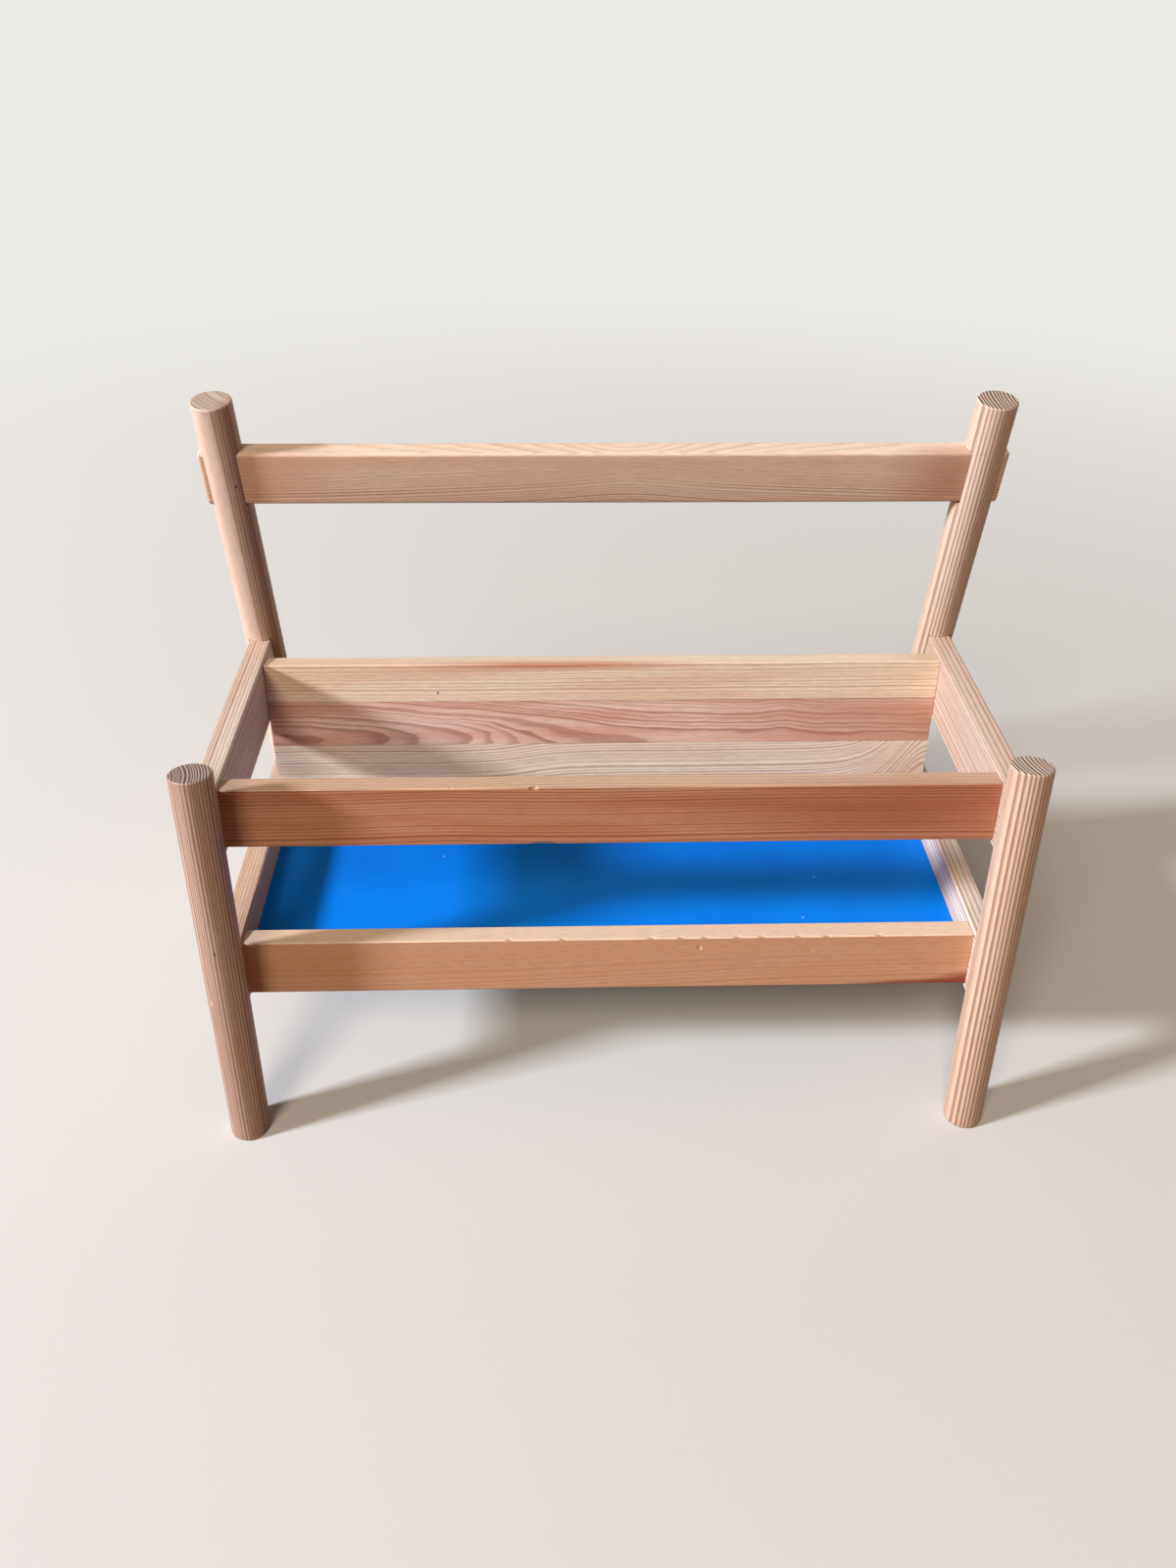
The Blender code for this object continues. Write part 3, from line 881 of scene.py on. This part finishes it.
# %% [markdown]
# ## Floor
# The floor is a plain pale sheet that keeps the shelf's shadow. Farther out it turns into the
# colour of the backdrop, so no horizon shows. The light that it throws back onto the shelf is
# dimmer and warmer than the sheet looks, because a white one would wash out the undersides.

# %% Floor
BACKDROP = "#ebe9e5"
FLOOR_SIZE = 60
# From here to here, in metres from the shelf's middle, the sheet turns into the backdrop
FADE_START, FADE_END = 0.25, 1.9


def seen_directly(tree):
    """Returns 1 where the camera looks straight, by reflection or through glass, or else 0."""
    path = add(tree, "LightPath").outputs
    seen = add(tree, "Math", {0: path["Is Camera Ray"], 1: path["Is Glossy Ray"]},
               operation="MAXIMUM")
    return add(tree, "Math", {0: seen, 1: path["Is Transmission Ray"]}, operation="MAXIMUM")


clear()
bpy.ops.mesh.primitive_plane_add(size=FLOOR_SIZE, location=(0, 0, 0))
floor = bpy.context.object
floor.name = "floor"
# Matt card: it takes a soft shadow and shows no gloss
sheet, tree = new_finish("pale_floor")
seen = seen_directly(tree)
pale_sheet = add(tree, "BsdfDiffuse", {"Color": "#dedbd6"})
bounce = add(tree, "BsdfDiffuse", {"Color": "#9b7858"})
near = add(tree, "MixShader", {0: seen, 1: bounce, 2: pale_sheet})
space = add(tree, "TexCoord").outputs["Object"]
away = add(tree, "VectorMath", {0: space}, operation="LENGTH")
away = add(tree, "MapRange", {"Value": away, "From Min": FADE_START, "From Max": FADE_END},
           interpolation_type="SMOOTHSTEP")
away = add(tree, "Math", {0: away, 1: seen}, operation="MULTIPLY")
glow = add(tree, "Emission", {"Color": BACKDROP})
add(tree, "OutputMaterial", {"Surface": add(tree, "MixShader", {0: away, 1: near, 2: glow})})
floor.data.materials.append(sheet)
print("floor is", floor.dimensions.x, "m wide")

# %% [markdown]
# ## Lamps
# Two lamps cast the two shadows: a small cool one from the left and a wide warm one from high
# in front. A weak lamp overhead and another behind fill the shadows, so that the back can be
# seen too. A lamp's power is worked out from how bright it makes the shelf, so that it can
# stand nearer or farther off and change only how hard its shadows are.

# %% Lamps
# All lamps point at a place near the middle of the shelf
AIM = Vector((0, 0, 0.15))


def lamp(name, way, distance, size, level, colour=(1, 1, 1)):
    """Adds a square lamp that makes a white face turned to it look as bright as its level."""
    light = bpy.data.lights.new(name, "AREA")
    light.size = size
    light.color = colour
    light.energy = level * math.pi ** 2 * distance ** 2
    item = bpy.data.objects.new(name, light)
    item.location = AIM - Vector(way).normalized() * distance
    item.rotation_euler = Vector(way).to_track_quat("-Z", "Y").to_euler()
    bpy.context.collection.objects.link(item)
    print(name, "gives", round(light.energy, 1), "W from", [round(v, 2) for v in item.location])


lamp("window", (0.86, 0.24, -0.45), 6.0, 0.69, 1.24, (0.94, 1.0, 1.14))
lamp("ceiling", (0.30, 0.62, -0.72), 8.0, 2.6, 0.42, (1.11, 0.98, 0.80))
lamp("overhead", (0.0, 0.0, -1.0), 3.0, 2.4, 0.06)
lamp("behind", (-0.42, -0.87, -0.25), 6.0, 4.5, 0.18)

# %% [markdown]
# ## Sky
# A weak warm sky lights the shelf evenly from all sides. Only the camera and reflections see
# the backdrop's colour in its place, so the background stays pale and the shadows stay deep.

# %% Sky
SKY_STRENGTH = 0.09
world = bpy.data.worlds.new("sky")
bpy.context.scene.world = world
world.use_nodes = True
tree = world.node_tree
tree.nodes.clear()
seen = seen_directly(tree)
fill = add(tree, "Background", {"Color": "#ffcd9c", "Strength": SKY_STRENGTH})
white = add(tree, "Background", {"Color": BACKDROP})
add(tree, "OutputWorld", {"Surface": add(tree, "MixShader", {0: seen, 1: fill, 2: white})})
bpy.context.scene.view_settings.view_transform = "Standard"
print("the sky lights at", SKY_STRENGTH)

# %% [markdown]
# ## Camera
# The camera's place, its direction and its lens were solved from the shelf's own edges in the
# photograph, so that the render can be laid over it. A camera starts out looking straight
# down, so it is first rolled, then tipped up to its pitch, and then turned aside.

# %% Camera, solved from the edges in the photograph
CAMERA_PLACE = (-0.03164, -0.61091, 0.62879)
PITCH, YAW, ROLL = math.radians(36.81), math.radians(1.89), math.radians(0.59)
FOCAL_PIXELS, LONG_SIDE = 1219.2, 1600
camera = bpy.data.objects.new("camera", bpy.data.cameras.new("camera"))
bpy.context.collection.objects.link(camera)
camera.data.lens = camera.data.sensor_width * FOCAL_PIXELS / LONG_SIDE
turn = (Matrix.Rotation(-YAW, 3, "Z") @ Matrix.Rotation(math.pi / 2 - PITCH, 3, "X")
        @ Matrix.Rotation(ROLL, 3, "Z"))
camera.rotation_euler = turn.to_euler()
camera.location = CAMERA_PLACE
camera.data.clip_start = 0.01
bpy.context.scene.camera = camera
print("lens:", round(camera.data.lens, 2), "mm")

# %% Finish
clear()
